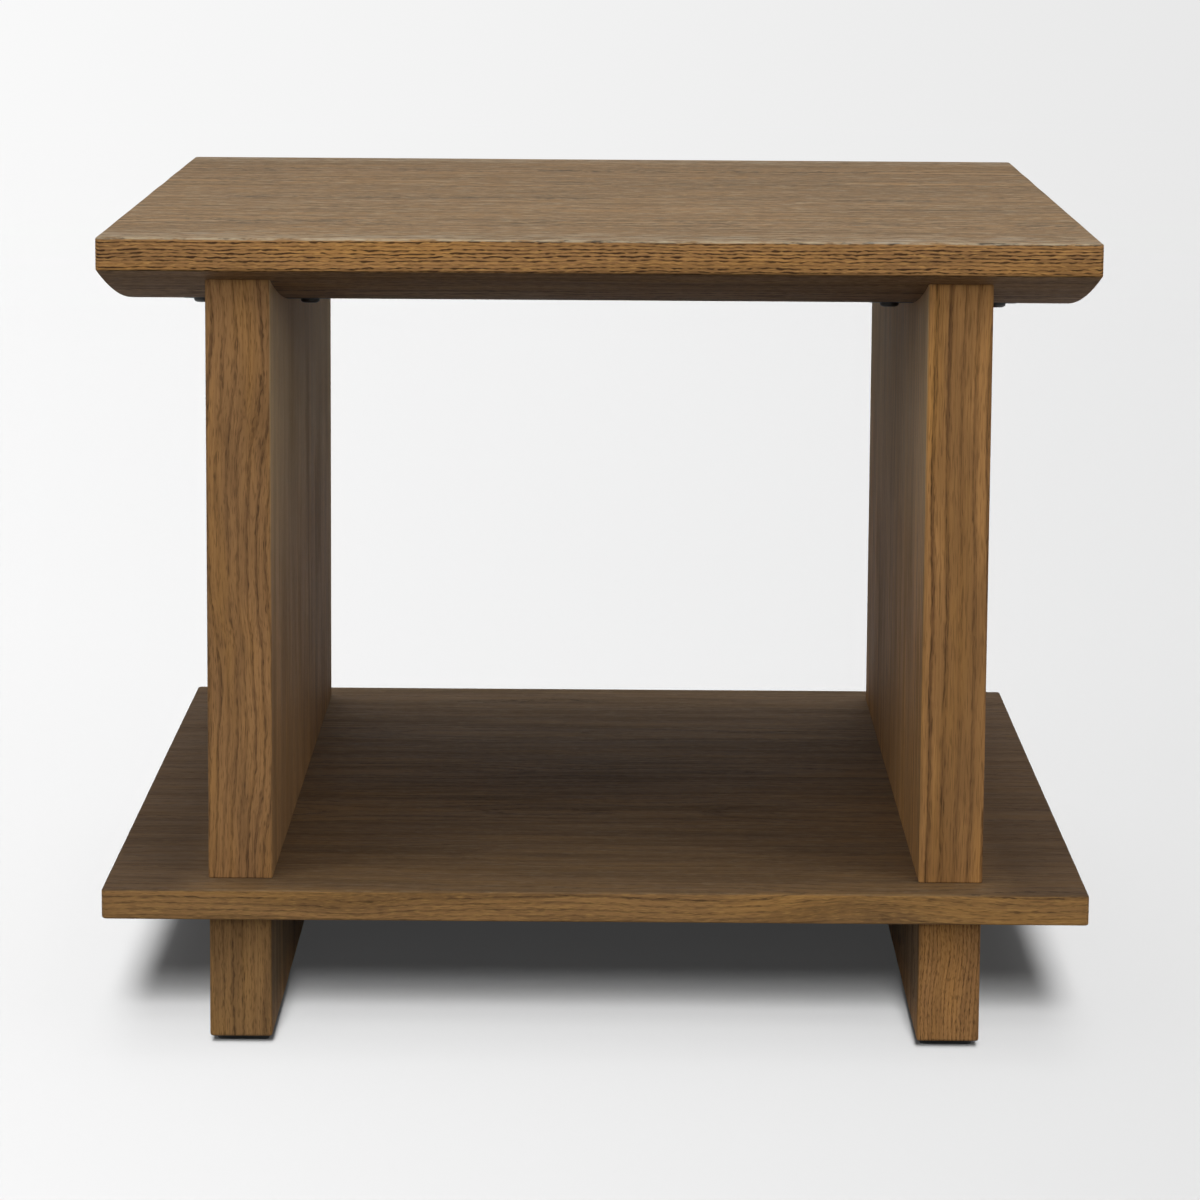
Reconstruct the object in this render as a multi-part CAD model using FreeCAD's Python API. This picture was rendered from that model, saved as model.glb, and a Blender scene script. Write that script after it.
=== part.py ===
import FreeCAD, Part
import math
import os

# End table with a shelf. Millimetres. The origin is on the floor under the middle of the table,
# X runs along the width, the front faces -Y, and Z is up.

# Overall
table_width = 610.0
table_depth = 711.0
table_height = 510.5

# Top: a slab with a straight edge all round, and an underside that is one shallow arc along Y
top_edge_height = 20.0
top_middle_thickness = 64.0
top_corner_radius = 3.5
top_arris = 1.6

# Legs: two upright slabs that stand on the shelf
leg_thickness = 40.0
side_overhang = 63.5        # from the top's side to the outer face of a leg
end_setback = 34.0          # from the top's front edge to the front face of a leg or foot
leg_corner_radius = 2.0
leg_end_arris = 0.8

# Shelf
shelf_thickness = 19.0
shelf_corner_radius = 3.0
shelf_arris = 1.5

# Feet: two runners under the shelf, in line with the legs
foot_thickness = 39.0
foot_height = 82.5
foot_corner_radius = 2.2
foot_bottom_arris = 2.0
foot_top_arris = 1.0

# Pads under the feet
pad_inset = 3.25            # from the side of a foot to the side of its pad
pad_length = 48.0
pad_height = 6.4
pad_setback = 18.0          # from the end of the foot
pad_corner_radius = 2.0

# Cross plates, let into the top's underside over the end of each leg
plate_setback = 198.0       # from the top's front edge to the middle of a plate
plate_width = 30.0
plate_end_margin = 12.5     # from the middle of a top bolt to the end of its plate
plate_thickness = 4.0
plate_corner_radius = 6.0
plate_clearance = 0.5       # between a plate and the walls of its pocket
plate_proud = 0.2           # how far a plate's underside stands below the arc, in a notch in the leg's end

# Bolts through the plates into the top
top_bolt_to_leg = 14.5      # from the face of a leg to the middle of a bolt beside it
top_bolt_diameter = 6.0
top_bolt_grip = 24.0        # length beyond the plate
top_bolt_head_diameter = 12.3
top_bolt_head_height = 2.7
top_bolt_rim = 0.7
top_bolt_crown_diameter = 5.6
top_bolt_key = 3.5          # across the flats of the hexagon socket
top_insert_diameter = 10.0
top_insert_length = 25.0

# Screws that hold a plate to the end of its leg
plate_screw_to_face = 9.0   # from the face of a leg to the middle of a screw in its end
plate_screw_diameter = 5.0
plate_screw_head_diameter = 9.4
plate_screw_length = 50.0
plate_screw_point = 5.0
plate_screw_key = 3.0
plate_screw_key_depth = 1.6

# Bolts from below, through a foot and the shelf into a leg
foot_bolt_to_pad = 25.5     # from a pad to the middle of the bolt next to it
foot_bolt_diameter = 8.0
foot_bolt_grip = 24.0       # length inside the leg
foot_bolt_head_diameter = 14.0
foot_bolt_head_height = 4.4
foot_bolt_rim = 1.0
foot_bolt_crown_diameter = 7.0
foot_bolt_key = 5.0
counterbore_clearance = 1.0 # round the washer, and below the head
washer_diameter = 16.0
washer_thickness = 1.6
leg_insert_diameter = 12.0
leg_insert_length = 25.0

# Dowels half way between the bolts, through the shelf
dowel_diameter = 10.0
dowel_depth = 20.0          # how far a dowel enters the leg and the foot

# Domed bolt heads
socket_share = 0.6          # of the head's height
dome_steps = 8

# Clearances, on the radius or at the end of a hole
thread_clearance = 0.1
shank_clearance = 0.3
insert_clearance = 0.05
dowel_clearance = 0.05
end_clearance = 1.0

# Levels, from the floor up
foot_bottom = pad_height
shelf_bottom = foot_bottom + foot_height
shelf_top = shelf_bottom + shelf_thickness
top_middle_bottom = table_height - top_middle_thickness
top_edge_bottom = table_height - top_edge_height
foot_bolt_seat = foot_bottom + counterbore_clearance + foot_bolt_head_height
counterbore_top = foot_bolt_seat + washer_thickness

# The arc of the top's underside goes through both lower edges and the lowest point in the middle
arc_rise = top_edge_bottom - top_middle_bottom
arc_radius = ((table_depth / 2) ** 2 + arc_rise ** 2) / (2 * arc_rise)
arc_centre_z = top_middle_bottom + arc_radius

# Places
leg_x = table_width / 2 - side_overhang - leg_thickness / 2
leg_depth = table_depth - 2 * end_setback
plate_y = table_depth / 2 - plate_setback
foot_bolt_y = leg_depth / 2 - pad_setback - pad_length - foot_bolt_to_pad
bolt_rows = (-foot_bolt_y, 0.0, foot_bolt_y)
dowel_rows = (-foot_bolt_y / 2, foot_bolt_y / 2)
top_bolt_x = leg_thickness / 2 + top_bolt_to_leg
top_bolt_offsets = (-top_bolt_x, top_bolt_x)
plate_screw_x = leg_thickness / 2 - plate_screw_to_face
plate_screw_offsets = (-plate_screw_x, plate_screw_x)
plate_length = 2 * (top_bolt_x + plate_end_margin)
sides = (("left", -leg_x), ("right", leg_x))
ends = (("front", -1), ("rear", 1))
plate_places = [(x, sign * plate_y) for _, x in sides for _, sign in ends]


def arc_z(y):
    """Height of the top's underside at a distance y from the middle."""
    return arc_centre_z - math.sqrt(arc_radius ** 2 - y ** 2)


def rounded_plan(size_x, size_y, radius, bottom, height):
    """Upright prism centred on the Z axis, whose plan is a rectangle with rounded corners."""
    half_x, half_y = size_x / 2, size_y / 2
    turn = radius * math.sqrt(0.5)
    edges = []
    for sign_x, sign_y in ((1, 1), (-1, 1), (-1, -1), (1, -1)):
        centre_x, centre_y = sign_x * (half_x - radius), sign_y * (half_y - radius)
        side_point = FreeCAD.Vector(sign_x * half_x, centre_y, bottom)
        end_point = FreeCAD.Vector(centre_x, sign_y * half_y, bottom)
        middle = FreeCAD.Vector(centre_x + sign_x * turn, centre_y + sign_y * turn, bottom)
        corner = (side_point, middle, end_point)
        edges.append(corner if sign_x * sign_y > 0 else corner[::-1])
    outline = []
    for corner, following in zip(edges, edges[1:] + edges[:1]):
        outline.append(Part.Arc(*corner).toShape())
        outline.append(Part.LineSegment(corner[2], following[0]).toShape())
    return Part.Face(Part.Wire(outline)).extrude(FreeCAD.Vector(0, 0, height))


def arched_prism(size_x, half_depth, flat_z):
    """Prism along X, centred on it: flat at flat_z, and bounded by the top's arc on the other side."""
    start = -size_x / 2
    corners = [FreeCAD.Vector(start, -half_depth, flat_z), FreeCAD.Vector(start, half_depth, flat_z)]
    arc_ends = [FreeCAD.Vector(start, y, arc_z(y)) for y in (-half_depth, half_depth)]
    arc_middle = FreeCAD.Vector(start, 0, arc_z(0))
    outline = [
        Part.LineSegment(corners[0], corners[1]).toShape(),
        Part.LineSegment(corners[1], arc_ends[1]).toShape(),
        Part.Arc(arc_ends[1], arc_middle, arc_ends[0]).toShape(),
        Part.LineSegment(arc_ends[0], corners[0]).toShape(),
    ]
    return Part.Face(Part.Wire(outline)).extrude(FreeCAD.Vector(size_x, 0, 0))


def round_loop(solid, radius, level):
    """Rounds every edge that lies wholly at the height that level(y) gives."""
    chosen = []
    for edge in solid.Edges:
        points = edge.discretize(5)
        if all(abs(point.z - level(point.y)) < 0.01 for point in points):
            chosen.append(edge)
    return solid.makeFillet(radius, chosen)


def cylinder(diameter, bottom, top, x=0.0, y=0.0):
    return Part.makeCylinder(diameter / 2, top - bottom, FreeCAD.Vector(x, y, bottom))


def hexagon(across_flats, bottom, top):
    """Upright hexagonal prism on the Z axis."""
    reach = across_flats / math.sqrt(3)
    points = [FreeCAD.Vector(reach * math.cos(turn), reach * math.sin(turn), bottom)
              for turn in (math.pi / 3 * step for step in range(7))]
    return Part.Face(Part.makePolygon(points)).extrude(FreeCAD.Vector(0, 0, top - bottom))


def revolved(profile):
    """Solid of revolution about the Z axis, from (radius, z) points given in order."""
    points = [FreeCAD.Vector(radius, 0, z) for radius, z in profile]
    face = Part.Face(Part.makePolygon(points + points[:1]))
    return face.revolve(FreeCAD.Vector(0, 0, 0), FreeCAD.Vector(0, 0, 1), 360)


def moved(shape, x=0.0, y=0.0, z=0.0):
    copy = shape.copy()
    copy.translate(FreeCAD.Vector(x, y, z))
    return copy


def on_arc(shape, x, y):
    """Places a shape at (x, y) on the arc: its Z points squarely into the top, from a plate's underside."""
    tilt = FreeCAD.Rotation(FreeCAD.Vector(1, 0, 0), math.degrees(math.asin(y / arc_radius)))
    origin = FreeCAD.Vector(x, y, arc_z(y)) - tilt.multVec(FreeCAD.Vector(0, 0, plate_proud))
    copy = shape.copy()
    copy.Placement = FreeCAD.Placement(origin, tilt).multiply(shape.Placement)
    return copy


def screw_head_depth():
    return (plate_screw_head_diameter - plate_screw_diameter) / 2


def top_slab():
    slab = arched_prism(table_width, table_depth / 2, table_height)
    plan = rounded_plan(table_width, table_depth, top_corner_radius, 0.0, table_height)
    slab = slab.common(plan)
    slab = round_loop(slab, top_arris, lambda y: table_height)
    slab = round_loop(slab, top_arris, arc_z)
    pocket = rounded_plan(plate_length + 2 * plate_clearance, plate_width + 2 * plate_clearance,
                          plate_corner_radius + plate_clearance, -plate_thickness, 2 * plate_thickness)
    insert_top = plate_thickness + top_insert_length
    bolt_top = plate_thickness + top_bolt_grip + end_clearance
    for x, y in plate_places:
        slab = slab.cut(on_arc(pocket, x, y))
        for offset in top_bolt_offsets:
            insert_hole = cylinder(top_insert_diameter, 0.0, insert_top, offset)
            bolt_hole = cylinder(top_bolt_diameter + 2 * shank_clearance, 0.0, bolt_top, offset)
            slab = slab.cut(on_arc(insert_hole.fuse(bolt_hole), x, y))
    return slab


def leg(x):
    board = arched_prism(leg_thickness, leg_depth / 2, shelf_top)
    plan = rounded_plan(leg_thickness, leg_depth, leg_corner_radius, 0.0, table_height)
    board = board.common(plan)
    board = round_loop(board, leg_end_arris, lambda y: shelf_top)
    board = round_loop(board, leg_end_arris, arc_z)
    board = moved(board, x)
    seat = Part.makeBox(plate_length, plate_width + 2 * plate_clearance, plate_thickness,
                        FreeCAD.Vector(-plate_length / 2, -plate_width / 2 - plate_clearance, 0))
    screw_hole = plate_screw_diameter + 2 * thread_clearance
    screw_depth = plate_screw_length - plate_thickness + end_clearance
    for _, sign in ends:
        board = board.cut(on_arc(seat, x, sign * plate_y))
        for offset in plate_screw_offsets:
            pilot = cylinder(screw_hole, -screw_depth, plate_thickness, offset)
            board = board.cut(on_arc(pilot, x, sign * plate_y))
    for y in bolt_rows:
        board = board.cut(cylinder(leg_insert_diameter, shelf_top, shelf_top + leg_insert_length, x, y))
    for y in dowel_rows:
        dowel_top = shelf_top + dowel_depth + end_clearance
        board = board.cut(cylinder(dowel_diameter + 2 * dowel_clearance, shelf_top, dowel_top, x, y))
    return board


def shelf():
    board = rounded_plan(table_width, table_depth, shelf_corner_radius, shelf_bottom, shelf_thickness)
    board = round_loop(board, shelf_arris, lambda y: shelf_top)
    board = round_loop(board, shelf_arris, lambda y: shelf_bottom)
    for _, x in sides:
        for y in bolt_rows:
            bolt_hole = foot_bolt_diameter + 2 * shank_clearance
            board = board.cut(cylinder(bolt_hole, shelf_bottom, shelf_top, x, y))
        for y in dowel_rows:
            dowel_hole = dowel_diameter + 2 * dowel_clearance
            board = board.cut(cylinder(dowel_hole, shelf_bottom, shelf_top, x, y))
    return board


def foot(x):
    block = rounded_plan(foot_thickness, leg_depth, foot_corner_radius, foot_bottom, foot_height)
    block = round_loop(block, foot_top_arris, lambda y: shelf_bottom)
    block = round_loop(block, foot_bottom_arris, lambda y: foot_bottom)
    block = moved(block, x)
    for y in bolt_rows:
        bolt_hole = foot_bolt_diameter + 2 * shank_clearance
        head_hole = washer_diameter + 2 * counterbore_clearance
        block = block.cut(cylinder(bolt_hole, foot_bottom, shelf_bottom, x, y))
        block = block.cut(cylinder(head_hole, foot_bottom, counterbore_top, x, y))
    for y in dowel_rows:
        dowel_bottom = shelf_bottom - dowel_depth - end_clearance
        block = block.cut(cylinder(dowel_diameter + 2 * dowel_clearance, dowel_bottom, shelf_bottom, x, y))
    return block


def pad(x, sign):
    pad_width = foot_thickness - 2 * pad_inset
    block = rounded_plan(pad_width, pad_length, pad_corner_radius, 0.0, pad_height)
    return moved(block, x, sign * (leg_depth / 2 - pad_setback - pad_length / 2))


def plate(x, sign):
    body = rounded_plan(plate_length, plate_width, plate_corner_radius, 0.0, plate_thickness)
    for offset in top_bolt_offsets:
        body = body.cut(cylinder(top_bolt_diameter + 2 * shank_clearance, 0.0, plate_thickness, offset))
    hole = plate_screw_diameter / 2 + shank_clearance
    head = plate_screw_head_diameter / 2 + shank_clearance
    depth = screw_head_depth()
    countersink = revolved([(0, 0), (hole, 0), (hole, plate_thickness - depth),
                            (head, plate_thickness), (0, plate_thickness)])
    for offset in plate_screw_offsets:
        body = body.cut(moved(countersink, offset))
    return on_arc(body, x, sign * plate_y)


def domed_bolt(diameter, length, head_diameter, head_height, rim_height, crown_diameter, key):
    """Bolt that points up from z = 0. Its head hangs below: a rim, a quarter-round and a flat crown."""
    rim, crown = head_diameter / 2, crown_diameter / 2
    dome = []
    for step in range(dome_steps + 1):
        turn = math.pi / 2 * step / dome_steps
        radius = crown + (rim - crown) * math.cos(turn)
        dome.append((radius, -rim_height - (head_height - rim_height) * math.sin(turn)))
    head = revolved([(0, 0), (rim, 0)] + dome + [(0, -head_height)])
    head = head.cut(hexagon(key, -head_height, -head_height * (1 - socket_share)))
    return head.fuse(cylinder(diameter, 0.0, length))


def top_bolts():
    bolt = domed_bolt(top_bolt_diameter, plate_thickness + top_bolt_grip, top_bolt_head_diameter,
                      top_bolt_head_height, top_bolt_rim, top_bolt_crown_diameter, top_bolt_key)
    return [on_arc(moved(bolt, offset), x, y) for x, y in plate_places for offset in top_bolt_offsets]


def top_inserts():
    sleeve = cylinder(top_insert_diameter - 2 * insert_clearance, plate_thickness,
                      plate_thickness + top_insert_length)
    bore = cylinder(top_bolt_diameter + 2 * thread_clearance, 0.0, plate_thickness + top_insert_length)
    sleeve = sleeve.cut(bore)
    return [on_arc(moved(sleeve, offset), x, y) for x, y in plate_places for offset in top_bolt_offsets]


def plate_screws():
    shank, head = plate_screw_diameter / 2, plate_screw_head_diameter / 2
    neck = plate_thickness - screw_head_depth()
    tip = plate_thickness - plate_screw_length
    screw = revolved([(0, plate_thickness), (head, plate_thickness), (shank, neck),
                      (shank, tip + plate_screw_point), (0, tip)])
    screw = screw.cut(hexagon(plate_screw_key, plate_thickness - plate_screw_key_depth, plate_thickness))
    return [on_arc(moved(screw, offset), x, y)
            for x, y in plate_places for offset in plate_screw_offsets]


def foot_bolts():
    bolt = domed_bolt(foot_bolt_diameter, shelf_top + foot_bolt_grip - foot_bolt_seat,
                      foot_bolt_head_diameter, foot_bolt_head_height, foot_bolt_rim,
                      foot_bolt_crown_diameter, foot_bolt_key)
    return [moved(bolt, x, y, foot_bolt_seat) for _, x in sides for y in bolt_rows]


def foot_washers():
    ring = cylinder(washer_diameter, foot_bolt_seat, counterbore_top)
    ring = ring.cut(cylinder(foot_bolt_diameter + 2 * shank_clearance, foot_bolt_seat, counterbore_top))
    return [moved(ring, x, y) for _, x in sides for y in bolt_rows]


def leg_inserts():
    top = shelf_top + leg_insert_length
    sleeve = cylinder(leg_insert_diameter - 2 * insert_clearance, shelf_top, top)
    sleeve = sleeve.cut(cylinder(foot_bolt_diameter + 2 * thread_clearance, shelf_top, top))
    return [moved(sleeve, x, y) for _, x in sides for y in bolt_rows]


def dowels():
    pin = cylinder(dowel_diameter, shelf_bottom - dowel_depth, shelf_top + dowel_depth)
    return [moved(pin, x, y) for _, x in sides for y in dowel_rows]


def save(name, solids):
    """Writes one node: a single solid, or a group of separate ones."""
    shape = solids[0] if len(solids) == 1 else Part.makeCompound(solids)
    for solid in shape.Solids:
        assert solid.isValid(), name
    shape.exportStep(os.path.join("parts", name + ".step"))
    print(name, len(shape.Solids), round(shape.Volume))


os.makedirs("parts", exist_ok=True)
save("top_slab", [top_slab()])
save("shelf", [shelf()])
for side, side_x in sides:
    save(side + "_leg", [leg(side_x)])
    save(side + "_foot", [foot(side_x)])
    for end, sign in ends:
        save(side + "_" + end + "_pad", [pad(side_x, sign)])
        save(side + "_" + end + "_plate", [plate(side_x, sign)])
save("top_bolts", top_bolts())
save("top_inserts", top_inserts())
save("plate_screws", plate_screws())
save("foot_bolts", foot_bolts())
save("foot_washers", foot_washers())
save("leg_inserts", leg_inserts())
save("dowels", dowels())
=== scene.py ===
import math
import bpy
import numpy as np
from mathutils import Matrix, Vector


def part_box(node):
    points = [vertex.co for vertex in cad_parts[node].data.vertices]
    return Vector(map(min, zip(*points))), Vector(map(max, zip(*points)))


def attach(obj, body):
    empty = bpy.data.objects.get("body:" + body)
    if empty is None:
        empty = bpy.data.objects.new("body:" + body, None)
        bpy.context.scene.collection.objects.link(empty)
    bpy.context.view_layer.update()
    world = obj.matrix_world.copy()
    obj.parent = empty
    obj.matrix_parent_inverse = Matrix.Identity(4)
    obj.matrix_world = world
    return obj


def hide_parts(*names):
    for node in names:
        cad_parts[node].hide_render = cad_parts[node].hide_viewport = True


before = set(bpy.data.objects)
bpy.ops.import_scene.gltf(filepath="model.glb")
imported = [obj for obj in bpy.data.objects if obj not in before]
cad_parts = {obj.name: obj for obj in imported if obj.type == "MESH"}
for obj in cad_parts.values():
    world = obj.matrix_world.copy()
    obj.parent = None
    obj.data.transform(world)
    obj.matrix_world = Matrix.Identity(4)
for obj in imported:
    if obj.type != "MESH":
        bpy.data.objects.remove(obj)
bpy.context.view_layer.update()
mm = 0.001
print("end table: packed frame loaded,", len(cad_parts), "nodes")


# Timber meshes. Every board is a closed box of ruled faces whose edges are then rounded.

boardCut = dict(
    step=14 * mm,        # spacing of the rulings away from the edges
    edgeSteps=4,         # rulings across one rounded edge
    pastEdge=1.3,        # where the close rulings end, as a share of the radius
    closest=0.08 * mm,   # rulings nearer than this are one
    softening=0.22,      # how much the hand-sanded radius varies along an edge
    wander=55 * mm,      # length over which it varies
    sharpAngle=35,       # degrees between faces from which an edge is drawn sharp
)
tiny = 1e-9              # metres, and lengths below it count as none


def rulings(low, high, radii, step, fixed=None):
    # Positions along one side: close together over each rounded edge, then evenly spaced or where they are
    # fixed.
    turn = np.linspace(math.pi / 4, 0, boardCut["edgeSteps"] + 1)
    last = max(radii) * boardCut["pastEdge"]
    fine = np.concatenate([radius * (1 - np.tan(turn)) for radius in radii] + [[last]])
    fine = np.unique(fine.round(5))
    fine = fine[np.concatenate([[True], np.diff(fine) > boardCut["closest"]])]
    if fixed is None:
        count = max(2, int((high - low - 2 * fine[-1]) / step) + 1)
        middle = np.linspace(low + fine[-1], high - fine[-1], count + 1)
    else:
        middle = np.array([low + fine[-1], *fixed, high - fine[-1]])
    return np.concatenate([low + fine[:-1], middle, (high - fine[:-1])[::-1]])


def gridQuads(number):
    # The quads between the points of a numbered grid.
    return np.stack([number[:-1, :-1], number[1:, :-1], number[1:, 1:], number[:-1, 1:]], -1).reshape(-1, 4)


def boxShell(xs, ys, zs):
    # The surface points of a lattice, numbered once, and the quads of its six sides, turned outwards.
    shape = (len(xs), len(ys), len(zs))
    onSide = np.zeros(shape, bool)
    onSide[[0, -1]] = onSide[:, [0, -1]] = onSide[:, :, [0, -1]] = True
    number = np.full(shape, -1)
    number[onSide] = np.arange(onSide.sum())
    points = np.stack(np.meshgrid(xs, ys, zs, indexing="ij"), -1)[onSide]
    quads = []
    for axis in range(3):
        for end in (0, -1):
            side = np.take(number, end, axis=axis)
            if axis == 1:
                side = side.T
            if end == 0:
                side = side.T
            quads.append(gridQuads(side))
    return points, np.concatenate(quads)


def drift(points, seed):
    # Smooth variation from -1 to 1 along the edges: three waves in directions and phases drawn once from the
    # seed.
    draw = np.random.default_rng(seed)
    waves = draw.normal(size=(3, 3)) * 2 * math.pi / (2 * boardCut["wander"])
    return np.sin(points @ waves.T + draw.uniform(0, 2 * math.pi, 3)).sum(1) / 3


def roundedBoard(low, high, corner, topArris, bottomArris, seed, fixed=(None, None)):
    # The four upright edges get the corner radius and the level ones an arris. Inside a corner's square,
    # the distance from the corner's centre is the larger of its two parts, which turns squares into
    # circles. Then each point within the arris of an edge moves onto a quarter circle whose centre lies one
    # radius in and one radius down.
    sizes = (corner * (1 + boardCut["softening"]), max(topArris, bottomArris))
    xs, ys = (rulings(low[i], high[i], sizes, boardCut["step"], fixed[i]) for i in (0, 1))
    zs = rulings(low[2], high[2], (topArris, bottomArris), boardCut["step"])
    points, quads = boxShell(xs, ys, zs)
    middle, half = (np.array(low) + high)[:2] / 2, (np.array(high) - low)[:2] / 2
    sway = 1 + boardCut["softening"] * drift(points, seed)

    across = points[:, :2] - middle
    edgeGap = np.min(half - abs(across), 1)
    cornerSize = (corner * sway)[:, None]
    centre = np.clip(across, cornerSize - half, half - cornerSize)
    offset = across - centre
    inCorner = (abs(offset) > tiny).all(1)
    length = np.maximum(np.hypot(*offset.T), tiny)[:, None]
    toSide = (half - abs(across) == edgeGap[:, None]) * np.sign(across)
    outward = np.where(inCorner[:, None], offset / length, toSide)
    reach = cornerSize[:, 0] - edgeGap
    across = np.where(inCorner[:, None], centre + outward * reach[:, None], across)

    upper = points[:, 2] > (low[2] + high[2]) / 2
    capGap = np.where(upper, high[2] - points[:, 2], points[:, 2] - low[2])
    arris = np.where(upper, topArris, bottomArris) * sway
    inArris = (edgeGap < arris) & (capGap < arris)
    slope = np.stack([edgeGap - arris, capGap - arris], 1)
    slope /= np.maximum(np.hypot(*slope.T), tiny)[:, None]
    newEdge = np.where(inArris, arris * (1 + slope[:, 0]), edgeGap)
    newCap = np.where(inArris, arris * (1 + slope[:, 1]), capGap)
    across = across - outward * (newEdge - edgeGap)[:, None]
    height = np.where(upper, high[2] - newCap, low[2] + newCap)
    return np.column_stack([across + middle, height]), quads


def makePiece(name, points, faces, material, slot, *nodes):
    mesh = bpy.data.meshes.new(name)
    mesh.from_pydata(points.tolist(), [], [face for group in faces for face in group.tolist()])
    mesh.update()
    mesh.shade_smooth()
    mesh.set_sharp_from_angle(angle=math.radians(boardCut["sharpAngle"]))
    mesh.materials.append(material)
    piece = bpy.data.objects.new(name, mesh)
    bpy.context.scene.collection.objects.link(piece)
    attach(piece, "root")
    if nodes:
        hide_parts(*nodes)
    return piece


# Shader building. Wire is a socket that takes part in sums, and Finish is one material.

class Wire:
    def __init__(self, finish, socket):
        self.finish, self.socket = finish, socket

    def maths(self, operation, *values):
        return self.finish.node("ShaderNodeMath", dict(operation=operation), dict(enumerate(values)))

    def __add__(self, other):
        return self.maths("ADD", self, other)

    def __sub__(self, other):
        return self.maths("SUBTRACT", self, other)

    def __rsub__(self, other):
        return self.maths("SUBTRACT", other, self)

    def __mul__(self, other):
        return self.maths("MULTIPLY", self, other)

    def __truediv__(self, other):
        return self.maths("DIVIDE", self, other)

    def __pow__(self, other):
        return self.maths("POWER", self, other)

    __radd__, __rmul__ = __add__, __mul__


class Finish:
    def __init__(self, name, holder=None):
        self.owner = holder or bpy.data.materials.new(name)
        self.owner.use_nodes = True
        self.tree = self.owner.node_tree
        self.tree.nodes.clear()

    def node(self, kind, settings=None, values=None, output=0):
        # Settings first, then the sockets by name, identifier or number; gives one output as a Wire.
        made = self.tree.nodes.new(kind)
        for setting, value in (settings or {}).items():
            setattr(made, setting, value)
        for key, value in (values or {}).items():
            socket = self.pick(made.inputs, key)
            if isinstance(value, Wire):
                self.tree.links.new(value.socket, socket)
            else:
                socket.default_value = value
        return Wire(self, self.pick(made.outputs, output)) if made.outputs else made

    def pick(self, sockets, key):
        if isinstance(key, int):
            return sockets[key]
        return next(socket for socket in sockets if key in (socket.identifier, socket.name))

    def ramp(self, value, low, high):
        # 0 below low and 1 above high, with a smooth rise between.
        return self.node("ShaderNodeMapRange", dict(interpolation_type="SMOOTHSTEP"),
                         {"Value": value, "From Min": low, "From Max": high})

    def mix(self, share, first, second, blend="MIX"):
        return self.node("ShaderNodeMix", dict(data_type="RGBA", blend_type=blend),
                         {"Factor_Float": share, "A_Color": first, "B_Color": second}, "Result_Color")

    def vector(self, operation, first, second, output=0):
        return self.node("ShaderNodeVectorMath", dict(operation=operation), {0: first, 1: second}, output)

    def noise(self, place, stretch, detail=2.0, roughness=0.5, seed=0.0):
        # Stretch is the length of a blotch along each axis, in the units of place. The seed moves the
        # noise, by another amount along each axis.
        spot = self.vector("MULTIPLY", place, tuple(1 / length for length in stretch))
        spot = self.vector("ADD", spot, (seed, seed * 1.7, seed * 0.6))
        return self.node("ShaderNodeTexNoise", None,
                         {"Vector": spot, "Scale": 1.0, "Detail": detail, "Roughness": roughness}, "Fac")

    def surface(self, **sockets):
        shader = self.node("ShaderNodeBsdfPrincipled", None,
                           {key.replace("_", " "): value for key, value in sockets.items()})
        self.node("ShaderNodeOutputMaterial", None, {"Surface": shader})
        return self.owner


def paint(red, green, blue):
    # An sRGB colour, 0 to 255, as the linear colour that the shader takes: a straight line for the darkest
    # values and a power for the others.
    linear = [c / 12.92 if c < 0.04045 else ((c + 0.055) / 1.055) ** 2.4
              for c in (red / 255, green / 255, blue / 255)]
    return (*linear, 1.0)


# Oak. The grain is solid: rings round a pith that lies outside the board, with pores in their early wood.

oak = dict(
    late=paint(152, 112, 67), early=paint(102, 72, 44), gold=paint(174, 126, 64), dark=paint(98, 71, 44),
    bright=paint(190, 146, 80), pore=paint(50, 34, 22), pale=paint(186, 170, 142),
    # Of the colours below, the first is scuffs, and the other three are painted shade on faces that look
    # down, a painted sheen on the upper inner faces of the legs and painted shade on the inner sides of the
    # feet.
    scuff=paint(206, 198, 182), under=paint(44, 39, 30), paintedInnerSheen=paint(225, 200, 154),
    shaded=paint(58, 56, 45), reliefDepth=0.12 * mm,
)
# Lengths are in mm from here to the end of the boards. Down to the zones, a pair of numbers says where a
# smooth rise begins and where it is full.

# How far a glued strip lies from its neighbours in the tree, and steps that keep the numbers of strips above
# zero and those of rings in neighbouring strips apart.
strips = dict(along=900, across=40, through=30, first=20.0, ringStep=7.3)
# Early wood in a ring that runs from 0 to 1, and how strong it is at least and how much more by chance.
yearRings = dict(rise=(0.0, 0.14), fall=(0.24, 0.50), least=0.4, chance=0.7)
# Places of the two rows of pores in a ring, how much sparser the second is, how long and how soft the ends
# of a pore are, and how strong it is at least and how much more by chance.
rows = dict(first=0.16, second=0.32, sparser=0.07, steep=6, soft=(-0.30, 0.75), least=0.45, chance=0.8)
# Size of the blotches of a noise along the grain, across it and through it, or across and through it alone
# where the board sets the length or, for the streaks, streakLength does.
blotches = dict(
    kinks=(34, 9, 9), wobbles=(7, 3, 3), cloud=(210, 26, 26), warm=(150, 17, 17), scuff=(44, 6, 6),
    bends=90, breaks=2.5, small=0.7, fibre=0.9, glint=0.6, streakLength=190,
)
# Values of its noise between which each tone sets in, and the last two for the roughness.
limits = dict(
    small=(0.52, 0.72), glint=(0.50, 0.68), warm=(0.42, 0.72), fibre=(0.40, 0.72), streak=(0.42, 0.64),
    cloud=(0.45, 0.75), strip=(0.3, 1.0), scuff=(0.54, 0.68), dustAndSheen=(0.50, 0.68), edgeDust=(0.46, 0.66),
    roughStreak=(0.40, 0.66), roughFibre=(0.35, 0.7),
)
# How much of what lies below it each tone covers at most.
cover = dict(warm=0.55, fibre=0.45, cloud=0.40, strip=0.20, pore=0.85, under=0.5, scuff=0.42)
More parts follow.
